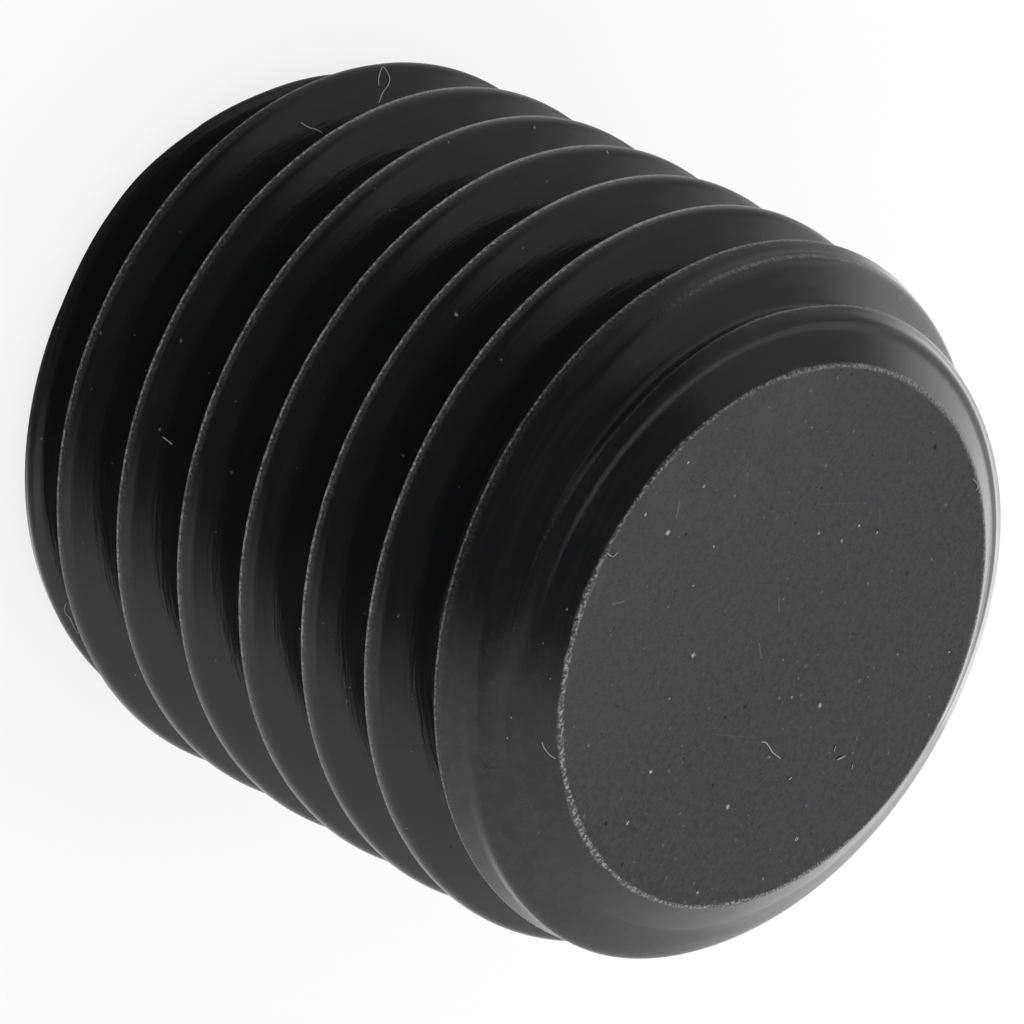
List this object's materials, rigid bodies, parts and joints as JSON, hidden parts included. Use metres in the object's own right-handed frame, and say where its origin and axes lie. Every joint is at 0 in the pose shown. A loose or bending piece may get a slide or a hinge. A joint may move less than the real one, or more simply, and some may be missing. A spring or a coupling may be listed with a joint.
{
  "type": "grub set screw",
  "caption": "Headless grub screw: coarse metric thread over its whole length, flat bevelled point and a hex socket in the other end.",
  "frame": {"origin": "centre of the socket end's face, where the screw stands", "axes": "+Z along the screw's axis, from the socket end to the flat point"},
  "size_m": [0.016, 0.016, 0.016],
  "materials": {
    "black_steel": "black oxide over rolled alloy steel, faintly oiled"
  },
  "bodies": {
    "root": {"set_screw": "black_steel"}
  },
  "joints": []
}
